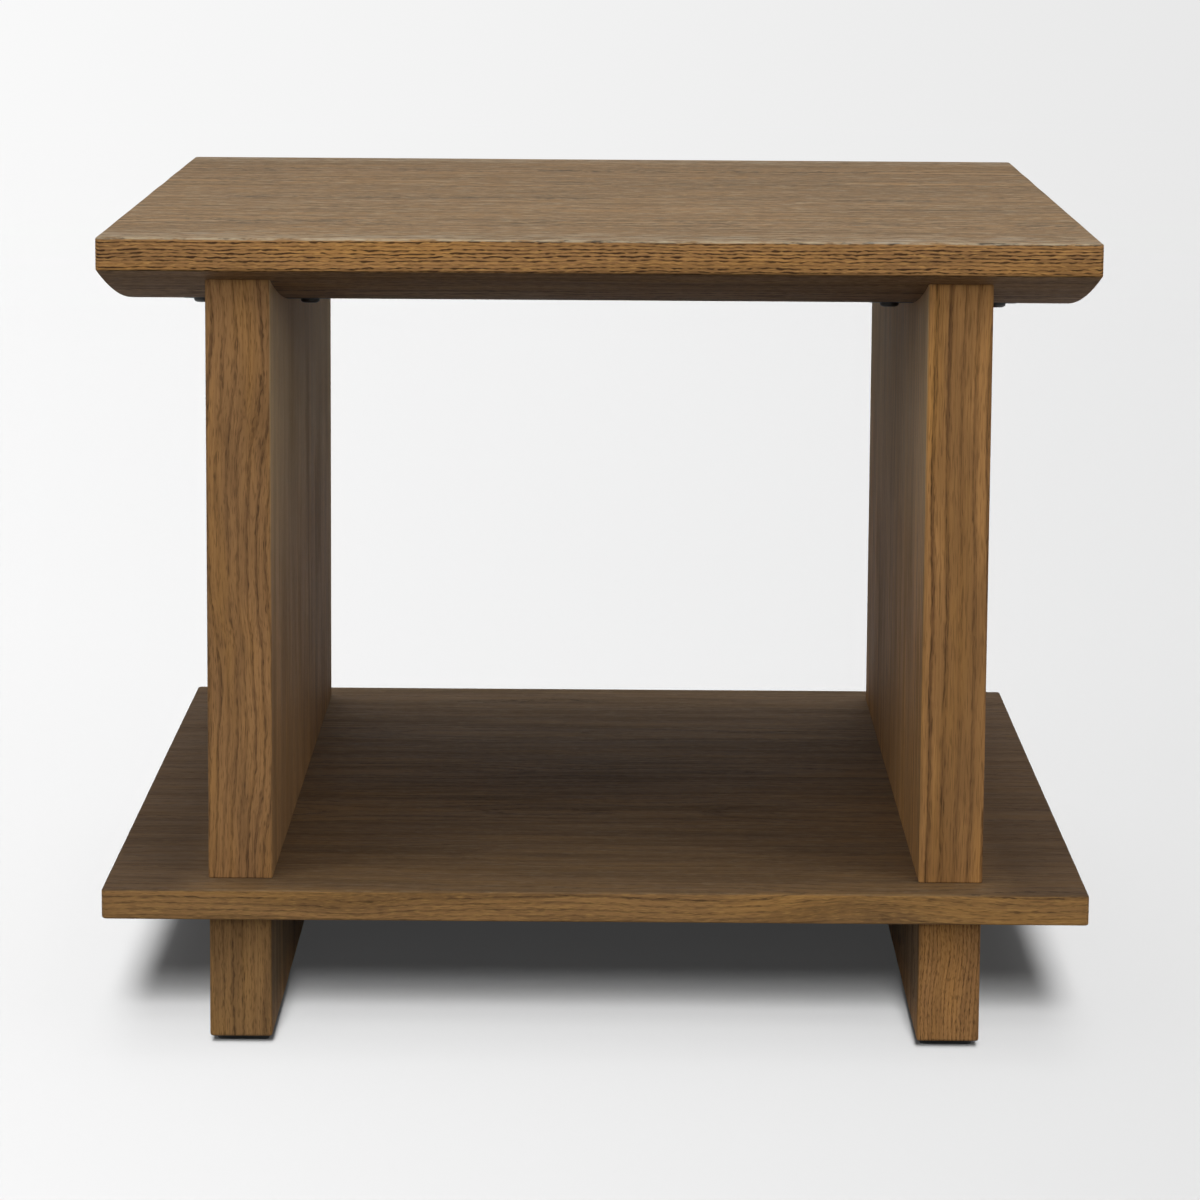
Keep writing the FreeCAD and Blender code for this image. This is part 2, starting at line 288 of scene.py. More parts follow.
# Between which values of the normal's upward part a tone sets in, and for inner, of its part towards the
# other leg. Level is where the painted highlight on an arris ends.
turns = dict(
    paintedSheenShade=(0.12, 0.6), dustAndSheen=(0.35, 0.8), arris=(0.05, 0.35), level=(0.90, 0.995), under=(-0.95, -0.5),
    inner=(0.5, 0.9),
)
# Where the tones that are set by place, pale streaks, scuffs and painted shade and sheen, rise or fall, from
# the table's middle or above the floor.
zones = dict(
    dustAndSheen=(280.0, 352.0), scuff=(300.0, 335.0), rear=(-120.0, 340.0), ends=(236.0, 268.0),
    lower=(90.0, 290.0), paintedInnerSheen=(230.0, 420.0), shaded=(8.0, 40.0),
)
# Parts of the relief and of the roughness, and small shares: of early wood in small flecks, of border in the
# pale streaks of dust and sheen, and how much of the painted inner sheen shows low down and between the
# fibres.
feel = dict(
    fibreRelief=0.25, smallRelief=0.3, poreRough=0.2, toneRough=0.10, earlyFlecks=0.05, borderDustAndSheen=0.09,
    paintedInnerSheenLow=0.22, paintedInnerSheenPlain=0.4,
)
# One set for each board, over what most boards share, in plain, and what legs and feet share, in upright.
# Width and shift place the glued strips, and pith is where the pith lies across and through. Pitch is the
# breadth of a ring, bend the length of a slow bend in it, and sway, kink and wobble are how far it is
# pushed about. Row is the breadth of a row of pores, dash the length of one pore in it and broken how far
# apart they are. Figure, pores, flecks and glints say how strongly rings, pores, small dark flecks and
# bright fibres show, and fibre is a fibre's length. Streaks are a breadth and a strength. Rough is the
# roughness and sheen the specular level. The keys paintedSheenShade and paintedSheenShadeShare are the
# colour and strength of a painted sheen and shade on faces that look up, greyer on the top and darker on
# the shelf; dustAndSheen and dustAndSheenShare the length, breadth and strength of the pale streaks on it,
# which are dust and paint part of the top's sheen; border how much more of them lies towards the front and
# rear edges; and edge the strength of the painted highlight on the upper arris. The keys
# rear, ends and lower paint shade on those parts. Inner is the way to the other leg,
# 1 or -1, and paintedInnerSheen and shaded say how much paler, as painted sheen, or darker, as painted
# shade, that side is. Tint multiplies the colour.
plain = dict(
    streaks=(13, 0.50), border=0.0, rear=0.0, ends=0.0, lower=0.0, inner=0, paintedInnerSheen=0.0, shaded=0.0,
)
upright = plain | dict(
    along="z", width=166, shift=0.44, paintedSheenShade=paint(120, 98, 74), paintedSheenShadeShare=0.1, dustAndSheen=(30, 9), dustAndSheenShare=0.1, edge=0.1,
)
boards = {
    "topSlab": plain | dict(
        along="x", width=118, shift=0.30, pith=(30, -560), pitch=2.05, sway=2.2, bend=150, kink=0.8,
        wobble=0.7, row=0.42, dash=6.5, broken=0.39, pores=0.92, figure=0.66, flecks=0.24, glints=0.42,
        fibre=24, seed=3.1, rough=0.72, sheen=0.16, paintedSheenShade=paint(93, 96, 87), paintedSheenShadeShare=0.44, dustAndSheen=(17, 4.5),
        dustAndSheenShare=0.42, border=0.9, edge=0.6, rear=0.17, tint=(1.57, 1.57, 1.61)),
    "shelf": plain | dict(
        along="x", width=132, shift=0.12, pith=(20, -165), pitch=4.0, sway=6.0, bend=170, kink=0.8,
        wobble=0.6, row=0.28, dash=7, broken=0.44, pores=0.58, figure=0.60, flecks=0.34, glints=0.34,
        fibre=22, seed=11.7, rough=0.72, sheen=0.20, paintedSheenShade=paint(82, 70, 56), paintedSheenShadeShare=0.50, dustAndSheen=(12, 3.0),
        dustAndSheenShare=0.12, edge=0.0, ends=0.45, tint=(1.03, 1.07, 1.10)),
    "leftLeg": upright | dict(
        pith=(-150, 22), pitch=5.2, sway=6.0, bend=120, kink=1.4, wobble=0.8, row=0.21, dash=8,
        broken=0.425, pores=0.54, figure=0.60, flecks=0.42, glints=0.05, fibre=60, streaks=(26, 0.50),
        seed=21.3, rough=0.68, sheen=0.08, inner=1, paintedInnerSheen=0.40, lower=0.20, tint=(1.33, 1.37, 1.58)),
    "rightLeg": upright | dict(
        pith=(-190, 40), pitch=7.0, sway=2.4, bend=200, kink=0.9, wobble=0.6, row=0.24, dash=13,
        broken=0.40, pores=0.62, figure=0.92, flecks=0.38, glints=0.05, fibre=60, streaks=(26, 0.50),
        seed=52.7, rough=0.68, sheen=0.08, inner=-1, paintedInnerSheen=0.36, lower=0.22, tint=(1.62, 1.61, 1.62)),
    "leftFoot": upright | dict(
        pith=(-160, 60), pitch=4.2, sway=2.0, bend=120, kink=0.8, wobble=0.5, row=0.26, dash=6,
        broken=0.42, pores=0.62, figure=0.55, flecks=0.42, glints=0.08, fibre=40,
        seed=47.1, rough=0.72, sheen=0.10, inner=1, shaded=0.52, tint=(1.20, 1.28, 1.42)),
    "rightFoot": upright | dict(
        pith=(-40, 160), pitch=2.6, sway=4.0, bend=80, kink=1.2, wobble=0.5, row=0.22, dash=4,
        broken=0.42, pores=0.58, figure=0.5, flecks=0.42, glints=0.10, fibre=30,
        seed=58.5, rough=0.72, sheen=0.10, inner=-1, shaded=0.58, tint=(1.37, 1.35, 1.40)),
}


def oakFinish(name):
    # Works in millimetres along the grain, across the board and through it. Every noise adds a number of
    # its own to the board's seed.
    board = boards[name]
    seed = board["seed"]
    wood = Finish(f"oak-{name}")
    place = wood.node("ShaderNodeTexCoord", None, None, "Object")
    place = wood.vector("MULTIPLY", place, (1 / mm,) * 3)
    x, y, z = (wood.node("ShaderNodeSeparateXYZ", None, {"Vector": place}, axis) for axis in "XYZ")
    along, across, through = (x, y, z) if board["along"] == "x" else (z, y, x)

    # Boards glued edge to edge: each has its own number, tone, stretch of the tree and distance from its
    # pith.
    strip = across * (1 / board["width"]) + board["shift"] + strips["first"]
    boardNumber = strip.maths("FLOOR", strip)
    chance = wood.node("ShaderNodeTexWhiteNoise", dict(noise_dimensions="1D"), {"W": boardNumber + seed},
                       "Color")
    first, second, third = (wood.node("ShaderNodeSeparateColor", None, {"Color": chance}, part)
                            for part in ("Red", "Green", "Blue"))
    sideways = (strip - boardNumber - 0.5) * board["width"]
    sideways = sideways + (first - 0.5) * strips["across"] + board["pith"][0]
    depth = through + (second - 0.5) * strips["through"] + board["pith"][1]
    along = along + first * strips["along"]
    tree = wood.node("ShaderNodeCombineXYZ", None, {"X": along, "Y": sideways, "Z": depth})

    # Rings: distance from the pith, pushed in and out by slow bends and small kinks along the grain, over
    # the pitch. The fibres go the same way, so they are drawn in the tree's coordinates, scaled across the
    # grain by one plus the push over the distance from the pith.
    bends = wood.noise(tree, (board["bend"], blotches["bends"], blotches["bends"]), 1.0, 0.4, seed) - 0.5
    kinks = wood.noise(tree, blotches["kinks"], 1.0, 0.5, seed + 5) - 0.5
    wobble = wood.noise(tree, blotches["wobbles"], 1.0, 0.5, seed + 7) - 0.5
    radius = (sideways * sideways + depth * depth) ** 0.5
    push = bends * (board["sway"] * 4) + kinks * (board["kink"] * 2)
    scale = push / radius + 1.0
    grain = wood.node("ShaderNodeCombineXYZ", None, {"X": along, "Y": sideways * scale, "Z": depth * scale})
    count = (radius + push + wobble * (board["wobble"] * 2)) * (1 / board["pitch"]) + third
    ringNumber = count.maths("FLOOR", count)
    ring = count - ringNumber
    odd = wood.node("ShaderNodeTexWhiteNoise", dict(noise_dimensions="1D"),
                    {"W": ringNumber + boardNumber * strips["ringStep"] + seed}, "Value")
    line = wood.ramp(ring, *yearRings["rise"]) * (1 - wood.ramp(ring, *yearRings["fall"]))
    line = line * (odd * yearRings["chance"] + yearRings["least"])

    def fibres(length, breadth, detail, roughness, number):
        return wood.noise(grain, (length, breadth, breadth), detail, roughness, seed + number)

    # Pores stand in rows on the early wood. A row is broken along the grain by a noise, which also gives each
    # pore its pointed ends: it is as broad as the noise is high. A second row beside the first is sparser.
    def poreRow(phase, start, number):
        gap = (ring - phase) * board["pitch"]
        breaks = fibres(board["dash"], blotches["breaks"], 1.0, 0.5, number)
        height = (breaks - start) * rows["steep"] - gap.maths("ABSOLUTE", gap) * (1 / board["row"])
        return wood.ramp(height, *rows["soft"])

    pore = wood.node("ShaderNodeMath", dict(operation="MAXIMUM"),
                     {0: poreRow(rows["first"], board["broken"], 9),
                      1: poreRow(rows["second"], board["broken"] + rows["sparser"], 11)})
    pore = pore * (odd * rows["chance"] + rows["least"]) * board["pores"]
    small = fibres(board["dash"], blotches["small"], 1.0, 0.5, 3) + line * feel["earlyFlecks"]
    small = wood.ramp(small, *limits["small"])

    # Fibre, slow tone changes and the tint of the early wood.
    breadth, strength = board["streaks"]
    fibre = fibres(board["fibre"], blotches["fibre"], 2.0, 0.6, 13)
    glint = wood.ramp(fibres(board["dash"], blotches["glint"], 2.0, 0.55, 37), *limits["glint"])
    streak = fibres(blotches["streakLength"], breadth, 3.0, 0.65, 29)
    cloud = wood.noise(grain, blotches["cloud"], 2.0, 0.5, seed + 17)
    warm = wood.noise(grain, blotches["warm"], 2.0, 0.5, seed + 19)
    tone = wood.mix(line * board["figure"], oak["late"], oak["early"])
    tone = wood.mix(wood.ramp(warm, *limits["warm"]) * cover["warm"], tone, oak["gold"])
    tone = wood.mix(wood.ramp(fibre, *limits["fibre"]) * cover["fibre"], tone, oak["early"])
    tone = wood.mix(wood.ramp(streak, *limits["streak"]) * strength, tone, oak["dark"])
    tone = wood.mix(wood.ramp(cloud, *limits["cloud"]) * cover["cloud"], tone, oak["dark"])
    tone = wood.mix(wood.ramp(third, *limits["strip"]) * cover["strip"], tone, oak["dark"])
    tone = wood.mix(glint * board["glints"], tone, oak["bright"])
    tone = wood.mix(small * board["flecks"], tone, oak["pore"])
    tone = wood.mix(pore * cover["pore"], tone, oak["pore"])
    tone = wood.mix(1.0, tone, (*board["tint"], 1.0), "MULTIPLY")

    # What lies on faces that look up: a painted sheen and shade, greyer on the top and darker on the shelf,
    # pale dust left by the wire brush in short streaks, which also paint part of the top's grey sheen, scuffs
    # behind the front and rear edges, and a painted highlight on the arris where the streaks are. Faces that
    # look down are darker, as painted shade.
    facing = wood.node("ShaderNodeNewGeometry", None, None, "Normal")
    sidewards, up = (wood.node("ShaderNodeSeparateXYZ", None, {"Vector": facing}, axis) for axis in "XZ")
    facesUp, steeplyUp = (wood.ramp(up, *turns[kind]) for kind in ("paintedSheenShade", "dustAndSheen"))
    length, breadth = board["dustAndSheen"]
    reach = across.maths("ABSOLUTE", across)
    dustAndSheen = wood.noise(tree, (length, breadth, breadth), 3.0, 0.7, seed + 23)
    dustAndSheen = dustAndSheen + wood.ramp(reach, *zones["dustAndSheen"]) * (board["border"] * feel["borderDustAndSheen"])
    scuff = wood.ramp(wood.noise(tree, blotches["scuff"], 3.0, 0.6, seed + 31), *limits["scuff"])
    scuff = scuff * wood.ramp(reach, *zones["scuff"]) * steeplyUp * board["border"]
    # A painted highlight along the upper arris, shown only where the pale streaks' noise is high.
    arris = wood.ramp(up, *turns["arris"]) * (1 - wood.ramp(up, *turns["level"]))
    arris = arris * wood.ramp(dustAndSheen, *limits["edgeDust"])
    # Painted shade: faces that look down are darkened towards the under colour.
    tone = wood.mix((1 - wood.ramp(up, *turns["under"])) * cover["under"], tone, oak["under"])
    # Painted sheen and shade on faces that look up: it turns the top greyer and darkens the shelf.
    tone = wood.mix(facesUp * board["paintedSheenShadeShare"], tone, board["paintedSheenShade"])
    # Pale streaks on faces that look up: dust, which also paints part of the grey sheen on the top.
    tone = wood.mix(wood.ramp(dustAndSheen, *limits["dustAndSheen"]) * steeplyUp * board["dustAndSheenShare"], tone, oak["pale"])
    tone = wood.mix(scuff * cover["scuff"], tone, oak["scuff"])
    tone = wood.mix(arris * board["edge"], tone, oak["pale"])

    # Painted shade and sheen set by place: painted shade at the rear, at the ends and low down, a painted
    # sheen on the upper inner faces of the legs and painted shade on the inner sides of the feet.
    inner = wood.ramp(sidewards * board["inner"], *turns["inner"])
    # Painted shadow of the top on the upward faces of the shelf's ends, beyond the legs.
    ends = wood.ramp(x.maths("ABSOLUTE", x), *zones["ends"]) * facesUp
    # Painted shade low down on the legs, on all but their inner faces, darker towards their lower ends.
    lower = (1 - inner) * (1 - wood.ramp(z, *zones["lower"]))
    # Painted sheen on the inner faces of the legs, paler towards the top and in streaks along the fibres.
    paintedInnerSheen = inner * (wood.ramp(z, *zones["paintedInnerSheen"]) + feel["paintedInnerSheenLow"]) * (fibre + feel["paintedInnerSheenPlain"])
    # Painted shade towards the rear of the top.
    tone = wood.mix(wood.ramp(y, *zones["rear"]) * board["rear"], tone, oak["pore"])
    tone = wood.mix(ends * board["ends"], tone, oak["pore"])
    tone = wood.mix(lower * board["lower"], tone, oak["pore"])
    tone = wood.mix(paintedInnerSheen * board["paintedInnerSheen"], tone, oak["paintedInnerSheen"])
    # Painted shade on the inner sides of the feet, darker upwards towards the shelf.
    tone = wood.mix(inner * wood.ramp(z, *zones["shaded"]) * board["shaded"], tone, oak["shaded"])

    # Fibres stand up, and pores and flecks are sunk. Pores and streaks are rougher, and fibres smoother.
    relief = fibre * feel["fibreRelief"] - pore - small * feel["smallRelief"]
    bump = wood.node("ShaderNodeBump", None,
                     {"Strength": 1.0, "Distance": oak["reliefDepth"], "Height": relief})
    rough = wood.ramp(streak, *limits["roughStreak"]) - wood.ramp(fibre, *limits["roughFibre"])
    rough = board["rough"] + pore * feel["poreRough"] + rough * feel["toneRough"]
    return wood.surface(Base_Color=tone, Roughness=rough, Normal=bump, Specular_IOR_Level=board["sheen"])


# The boards themselves.

topCut = dict(edgeHeight=20 * mm, corner=3.5 * mm, arris=1.6 * mm)
shelfCut = dict(corner=3 * mm, arris=1.5 * mm)
legCut = dict(corner=2 * mm, arris=0.8 * mm)
footCut = dict(corner=2.2 * mm, topArris=1 * mm, bottomArris=2 * mm)
wellCut = dict(
    places=(-230 * mm, 0, 230 * mm), radius=9 * mm, depth=7 * mm, chamfer=0.5 * mm, square=12.5 * mm,
    sides=48,
)
padCut = dict(corner=3 * mm, topArris=0.4 * mm, bottomArris=1.2 * mm)

slabLow, slabHigh = (np.array(corner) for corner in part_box("top_slab"))
edgeBottom = slabHigh[2] - topCut["edgeHeight"]
rise = edgeBottom - slabLow[2]
halfDepth = slabHigh[1]
archRadius = (halfDepth ** 2 + rise ** 2) / (2 * rise)


def archHeight(y):
    # Height of the slab's underside: a circle's arc, lowest in the middle of the table.
    return slabLow[2] + archRadius - np.sqrt(archRadius ** 2 - y ** 2)


def topSlab():
    # A board as thick as its edge, whose underside is let down onto the arc. The sides stretch evenly between
    # the arrises.
    low = np.array([*slabLow[:2], edgeBottom])
    points, quads = roundedBoard(low, slabHigh, topCut["corner"], topCut["arris"], topCut["arris"], 1)
    share = (slabHigh[2] - topCut["arris"] - points[:, 2]) / (topCut["edgeHeight"] - 2 * topCut["arris"])
    points[:, 2] -= np.clip(share, 0, 1) * (edgeBottom - archHeight(points[:, 1]))
    return makePiece("topSlab", points, [quads], oakFinish("topSlab"), "oak", "top_slab")


def leg(name, node, seed):
    # An upright board whose top end is coped to the arc.
    low, high = (np.array(corner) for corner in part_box(node))
    points, quads = roundedBoard(low, high, legCut["corner"], legCut["arris"], legCut["arris"], seed)
    share = (points[:, 2] - low[2] - legCut["arris"]) / (high[2] - low[2] - 2 * legCut["arris"])
    points[:, 2] += np.clip(share, 0, 1) * (archHeight(points[:, 1]) - high[2])
    return makePiece(name, points, [quads], oakFinish(name), "oak", node)


def shelf():
    # A level board.
    low, high = (np.array(corner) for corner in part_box("shelf"))
    points, quads = roundedBoard(low, high, shelfCut["corner"], shelfCut["arris"], shelfCut["arris"], 4)
    return makePiece("lowerShelf", points, [quads], oakFinish("shelf"), "oak", "shelf")


def sinkWell(points, quads, centre):
    # Takes out the one square of the underside that holds the well and puts back a fan from its corners to
    # a circle, then rings that go over the chamfer, up the wall and in to a pole. Angles run the way the
    # square is numbered.
    bottom = points[:, 2].min()
    inside = np.linalg.norm(points[quads].mean(1) - [*centre, bottom], axis=1) < mm
    corners = quads[inside][0]
    start = math.atan2(*(points[corners[0], 1::-1] - centre[::-1]))
    turn = np.arange(wellCut["sides"])
    angle = start - 2 * math.pi * turn / wellCut["sides"]
    radii = np.array([wellCut["radius"] + wellCut["chamfer"], wellCut["radius"], wellCut["radius"]])
    heights = bottom + np.array([0, wellCut["chamfer"], wellCut["depth"]])
    rings = np.stack([centre[0] + radii[:, None] * np.cos(angle), centre[1] + radii[:, None] * np.sin(angle),
                      heights[:, None] + 0 * angle], -1).reshape(-1, 3)
    after = (turn + 1) % wellCut["sides"]
    first, pole = len(points), len(points) + len(rings)
    last = first + 2 * len(turn)
    eighth = wellCut["sides"] // 8
    fan = np.column_stack([corners[((turn + eighth) // (2 * eighth)) % 4], first + after, first + turn])
    sides = np.column_stack([corners, np.roll(corners, -1), first + (np.arange(4) * 2 + 1) * eighth])
    cap = np.column_stack([last + turn, last + after, np.full(len(turn), pole)])
    wall = np.column_stack([turn, after, after + len(turn), turn + len(turn)]) + first
    walls = np.concatenate([wall, wall + len(turn)])
    points = np.concatenate([points, rings, [[*centre, heights[-1]]]])
    return points, np.concatenate([quads[~inside], walls]), np.concatenate([fan, sides, cap])


def foot(name, node, seed):
    # A low runner with a round well up into its underside for each bolt's head.
    low, high = (np.array(corner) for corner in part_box(node))
    middle = (low[0] + high[0]) / 2
    square = wellCut["square"]
    stops = [low[1] + 2 * footCut["corner"]]
    stops += [place + side for place in wellCut["places"] for side in (-square, square)]
    stops += [high[1] - 2 * footCut["corner"]]
    along = np.concatenate([np.linspace(start, end, max(2, round((end - start) / boardCut["step"])))
                            for start, end in zip(stops[::2], stops[1::2])])
    fixed = ((middle - square, middle + square), along)
    points, quads = roundedBoard(low, high, footCut["corner"], footCut["topArris"], footCut["bottomArris"],
                                 seed, fixed)
    triangles = []
    for place in wellCut["places"]:
        points, quads, more = sinkWell(points, quads, np.array([middle, place]))
        triangles.append(more)
    return makePiece(name, points, [quads, *triangles], oakFinish(name), "oak", node)


def pad(name, node, finish):
    # A slip pad: a small slab with rounded corners and a soft lower edge.
    low, high = (np.array(corner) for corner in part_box(node))
    points, quads = roundedBoard(low, high, padCut["corner"], padCut["topArris"], padCut["bottomArris"], 7)
    return makePiece(name, points, [quads], finish, "black_rubber", node)


topSlab()
leg("leftLeg", "left_leg", 2)
leg("rightLeg", "right_leg", 3)
lowPieces = [shelf(), foot("leftFoot", "left_foot", 5), foot("rightFoot", "right_foot", 6)]
print("end table: six oak boards cut")


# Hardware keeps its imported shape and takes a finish.

# Grit and patch are the sizes of the grit and of the worn patches, relief the height of the grit, and limits
# where the patches set in. The roughness is least and rises by up to rougher in the grit or the patches.
rubberLook = dict(
    grit=0.6 * mm, patch=9 * mm, relief=0.05 * mm, limits=(0.45, 0.75), clean=paint(24, 24, 25),
    worn=paint(38, 37, 36), least=0.75, rougher=0.15,
)
metalLook = dict(
    grit=0.5 * mm, patch=6 * mm, relief=0.02 * mm, limits=(0.45, 0.8), dull=(0.3, 0.8), rougher=0.15,
    blackSteel=dict(base=paint(22, 21, 21), worn=paint(44, 42, 40), metallic=0.0, least=0.42),
    zincSteel=dict(base=paint(176, 178, 180), worn=paint(150, 150, 148), metallic=1.0, least=0.32),
)
beechLook = dict(
    fleck=(0.5 * mm, 0.5 * mm, 4 * mm), limits=(0.45, 0.7), base=paint(205, 170, 130),
    dark=paint(170, 128, 88), rough=0.6,
)


def rubberFinish():
    # The patches set the tone, and the grit sets the relief and the roughness.
    rubber = Finish("black-rubber")
    place = rubber.node("ShaderNodeTexCoord", None, None, "Object")
    grit = rubber.noise(place, (rubberLook["grit"],) * 3, 2.0, 0.6)
    patch = rubber.noise(place, (rubberLook["patch"],) * 3, 2.0, 0.6, 4.0)
    tone = rubber.mix(rubber.ramp(patch, *rubberLook["limits"]), rubberLook["clean"], rubberLook["worn"])
    bump = rubber.node("ShaderNodeBump", None,
                       {"Strength": 1.0, "Distance": rubberLook["relief"], "Height": grit})
    rough = rubberLook["least"] + grit * rubberLook["rougher"]
    return rubber.surface(Base_Color=tone, Roughness=rough, Normal=bump)


def metalFinish(name, kind):
    # The patches set the tone and the roughness, and the grit sets the relief.
    steel = metalLook[kind]
    metal = Finish(name)
    place = metal.node("ShaderNodeTexCoord", None, None, "Object")
    grit = metal.noise(place, (metalLook["grit"],) * 3, 3.0, 0.65)
    patch = metal.noise(place, (metalLook["patch"],) * 3, 2.0, 0.6, 7.0)
    tone = metal.mix(metal.ramp(patch, *metalLook["limits"]), steel["base"], steel["worn"])
    bump = metal.node("ShaderNodeBump", None,
                      {"Strength": 1.0, "Distance": metalLook["relief"], "Height": grit})
    rough = steel["least"] + metal.ramp(patch, *metalLook["dull"]) * metalLook["rougher"]
    return metal.surface(Base_Color=tone, Metallic=steel["metallic"], Roughness=rough, Normal=bump)


def beechFinish():
    # Flecks along the upright grain darken the tone.
    beech = Finish("beech")
    place = beech.node("ShaderNodeTexCoord", None, None, "Object")
    fleck = beech.noise(place, beechLook["fleck"], 2.0, 0.6)
    tone = beech.mix(beech.ramp(fleck, *beechLook["limits"]), beechLook["base"], beechLook["dark"])
    return beech.surface(Base_Color=tone, Roughness=beechLook["rough"])


rubber = rubberFinish()
for side in ("left", "right"):
    for end in ("Front", "Rear"):
        lowPieces.append(pad(f"{side}{end}Pad", f"{side}_{end.lower()}_pad", rubber))
blackSteel = metalFinish("black-steel", "blackSteel")
zincSteel = metalFinish("zinc-steel", "zincSteel")
beech = beechFinish()
hardware = {"plate": blackSteel, "top_bolts": blackSteel, "dowels": beech}
for nodeName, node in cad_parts.items():
    if nodeName in ("top_slab", "shelf") or nodeName.endswith(("_leg", "_foot", "_pad")):
        continue
    finish = next((made for ending, made in hardware.items() if nodeName.endswith(ending)), zincSteel)
    node.data.materials.clear()
    node.data.materials.append(finish)
print("end table: hardware finished")


# Floor, light and camera.

# The floor is level as far as flat, in metres, and then climbs a part of a quarter circle as far as reach.
# Level is its white, which tilt makes lighter on the left and darker on the right as painted light and shade,
# over a fan seen from stand metres in front. Paper is the share of that white that takes shadow, glow what it
# gives off itself, and bounce what it throws back at the table. Between near and far the paper turns into an
# even white.
# Ambient is the room's light. The floor's own lamps are floorGain over paper times as strong as their
# shares.
stage = dict(
    flat=26.0, reach=34.0, squares=68, climb=0.95, level=0.878, tilt=0.55, fan=0.15, stand=3.3,
    paper=0.12, glow=0.043, bounce=0.015, near=4.0, far=9.0, ambient=0.30, floorGain=1.02,
)
# Azimuth from the front towards the right, elevation, angular size in degrees, and strength as a share of
# white.
lamps = dict(
    overhead=(0, 90, 40, 0.43), behind=(180, 60, 35, 0.12), left=(315, 33, 28, 0.14),
    right=(45, 33, 28, 0.12), low=(0, 10, 20, 0.29), lowLeft=(315, 10, 20, 0.10), lowRight=(45, 10, 20, 0.16),
)
floorLamps = dict(
    zenith=(0, 88, 24, 0.03), high=(0, 60, 20, 0.05), middle=(0, 40, 14, 0.20), front=(0, 29, 9, 0.87),
    skim=(0, 22.5, 7, 0.50),
)


def floorSheet():
    # A square grid, level out to the flat's radius, beyond which it climbs a circle's arc.
    ticks = np.linspace(-stage["reach"], stage["reach"], stage["squares"] + 1)
    grid = np.stack(np.meshgrid(ticks, ticks, indexing="ij"), -1).reshape(-1, 2)
    bend = stage["reach"] - stage["flat"]
    out = np.clip(np.hypot(*grid.T) - stage["flat"], 0, bend * stage["climb"])
    points = np.column_stack([grid, bend - np.sqrt(bend ** 2 - out ** 2)])
    mesh = bpy.data.meshes.new("floor")
    mesh.from_pydata(points.tolist(), [], gridQuads(np.arange(len(grid)).reshape(len(ticks), -1)).tolist())
    mesh.shade_smooth()
    floor = bpy.data.objects.new("floor", mesh)
    bpy.context.scene.collection.objects.link(floor)
    return floor


def floorFinish():
    # White paper under the table, which takes its shadow, and an even white further out. The fan is x over
    # the distance in front of the stand. The floor throws little light back up, and can be looked through
    # from below.
    floor = Finish("floor")
    place = floor.node("ShaderNodeTexCoord", None, None, "Object")
    x, y = (floor.node("ShaderNodeSeparateXYZ", None, {"Vector": place}, axis) for axis in "XY")
    fan = x / x.maths("MAXIMUM", y + stage["stand"], 1.0)
    fan = fan.maths("MINIMUM", fan.maths("MAXIMUM", fan, -stage["fan"]), stage["fan"])
    # Painted light and shade: the floor's white is lighter on the left and darker on the right.
    white = stage["level"] - fan * stage["tilt"]
    share = white * stage["paper"]
    tone, shaded = (floor.node("ShaderNodeCombineColor", None, {0: grey, 1: grey, 2: grey})
                    for grey in (white, share))
    paper = floor.node("ShaderNodeAddShader", None, {
        0: floor.node("ShaderNodeBsdfDiffuse", None, {"Color": shaded}),
        1: floor.node("ShaderNodeEmission", None, {"Color": tone, "Strength": stage["glow"]})})
    even = floor.node("ShaderNodeEmission", None, {"Color": tone, "Strength": 1.0})
    away = floor.ramp(floor.vector("LENGTH", place, place, 1), stage["near"], stage["far"])
    seen = floor.node("ShaderNodeMixShader", None, {0: away, 1: paper, 2: even})
    bounce = floor.node("ShaderNodeBsdfDiffuse", None, {"Color": (*[stage["bounce"]] * 3, 1)})
    rays = [floor.node("ShaderNodeLightPath", None, None, name)
            for name in ("Is Camera Ray", "Is Glossy Ray", "Is Transmission Ray")]
    looked = rays[0].maths("MAXIMUM", rays[0].maths("MAXIMUM", rays[0], rays[1]), rays[2])
    top = floor.node("ShaderNodeMixShader", None, {0: looked, 1: bounce, 2: seen})
    clear = floor.node("ShaderNodeBsdfTransparent")
    under = floor.node("ShaderNodeNewGeometry", None, None, "Backfacing")
    floor.node("ShaderNodeOutputMaterial", None,
               {"Surface": floor.node("ShaderNodeMixShader", None, {0: under, 1: top, 2: clear})})
    return floor.owner


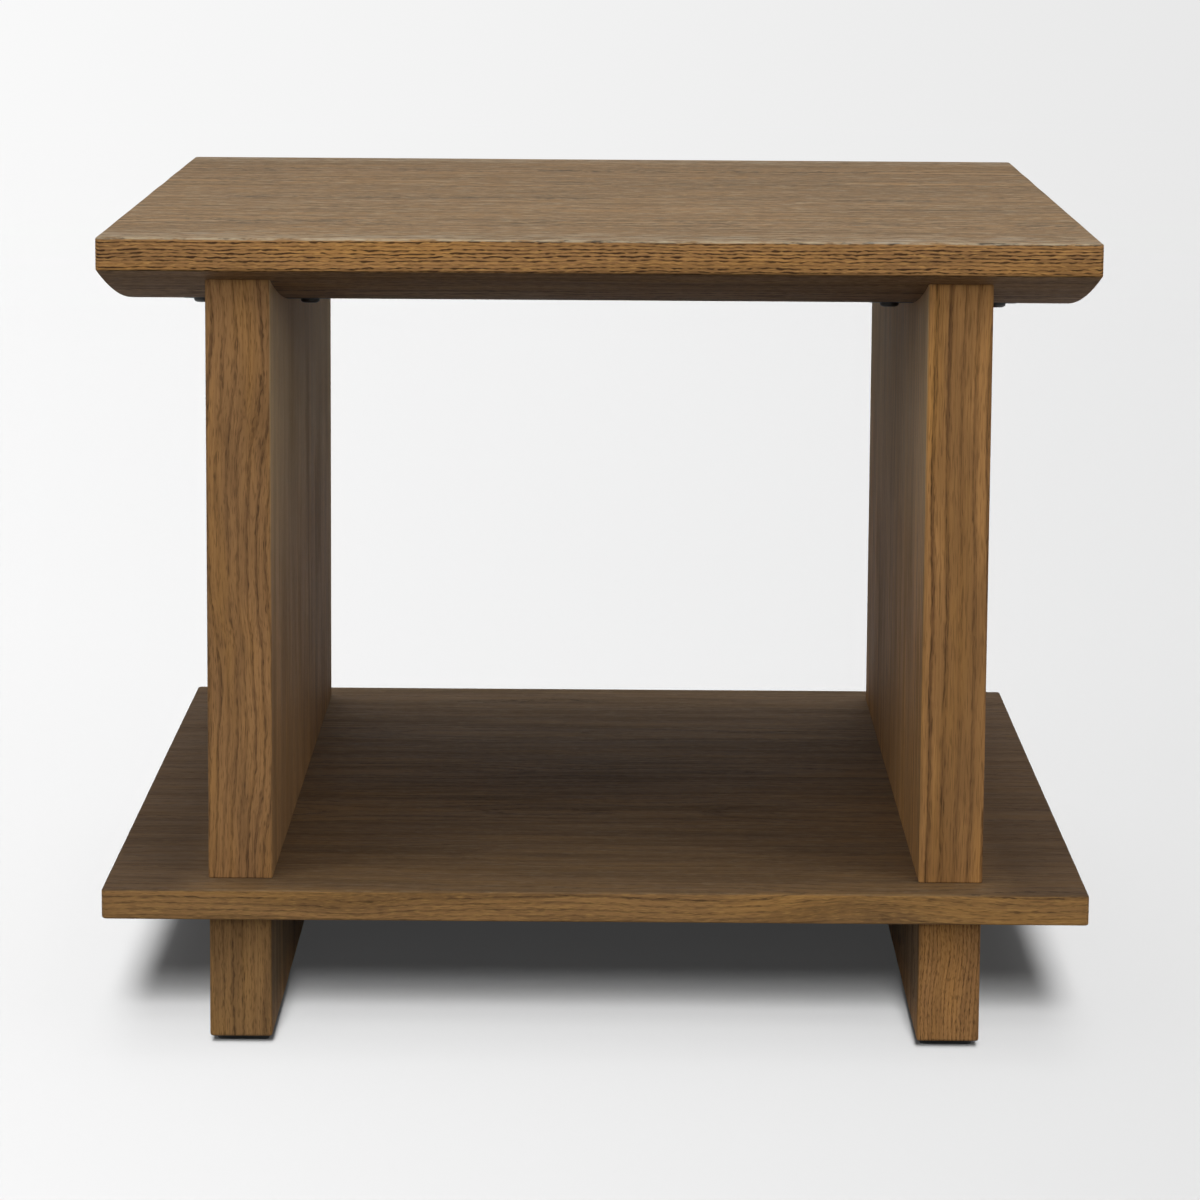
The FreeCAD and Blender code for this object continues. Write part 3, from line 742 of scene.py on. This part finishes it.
def hangLamps(chosen, gain=1.0):
    # Distant soft lamps: a white surface that faces one shows its share times the gain.
    hung = []
    for name, (azimuth, elevation, spread, share) in chosen.items():
        lamp = bpy.data.objects.new(name, bpy.data.lights.new(name, "SUN"))
        lamp.data.energy, lamp.data.angle = math.pi * share * gain, math.radians(spread)
        lamp.matrix_world = (Matrix.Rotation(math.radians(azimuth), 4, "Z")
                             @ Matrix.Rotation(math.radians(90 - elevation), 4, "X"))
        bpy.context.scene.collection.objects.link(lamp)
        hung.append(lamp)
    return hung


def lightFloor(floor, shading):
    # Lamps that light the floor alone, so that it stays white, and that only the shelf, feet and pads shade.
    receivers, blockers = (bpy.data.collections.new(name) for name in ("floorOnly", "shelfAndFeet"))
    receivers.objects.link(floor)
    for piece in shading:
        blockers.objects.link(piece)
    for lamp in hangLamps(floorLamps, stage["floorGain"] / stage["paper"]):
        lamp.light_linking.receiver_collection = receivers
        lamp.light_linking.blocker_collection = blockers


def ambientLight():
    # An even white room.
    world = bpy.data.worlds.new("room")
    bpy.context.scene.world = world
    room = Finish("room", world)
    room.node("ShaderNodeOutputWorld", None, {"Surface": room.node(
        "ShaderNodeBackground", None, {"Color": (1, 1, 1, 1), "Strength": stage["ambient"]})})


# Angles in radians, lens and film in mm, clip in metres.
view = dict(
    place=(7.3 * mm, -3288.5 * mm, 761.6 * mm), downward=0.15919, turned=-0.00188, rolled=0.00667,
    lens=145.83, film=36.0, clip=(0.1, 100.0),
)


def camera():
    # Looks level along Y, then is turned about Z, tipped downwards and rolled about its own line of sight.
    data = bpy.data.cameras.new("camera")
    data.lens, data.sensor_width = view["lens"], view["film"]
    data.clip_start, data.clip_end = view["clip"]
    eye = bpy.data.objects.new("camera", data)
    eye.matrix_world = (Matrix.Translation(view["place"]) @ Matrix.Rotation(-view["turned"], 4, "Z")
                        @ Matrix.Rotation(math.pi / 2 - view["downward"], 4, "X")
                        @ Matrix.Rotation(view["rolled"], 4, "Z"))
    bpy.context.scene.collection.objects.link(eye)
    bpy.context.scene.camera = eye


floor = floorSheet()
floor.data.materials.append(floorFinish())
ambientLight()
hangLamps(lamps)
lightFloor(floor, lowPieces)
camera()
bpy.context.scene.view_settings.view_transform = "Standard"
print("end table: floor, light and camera placed")
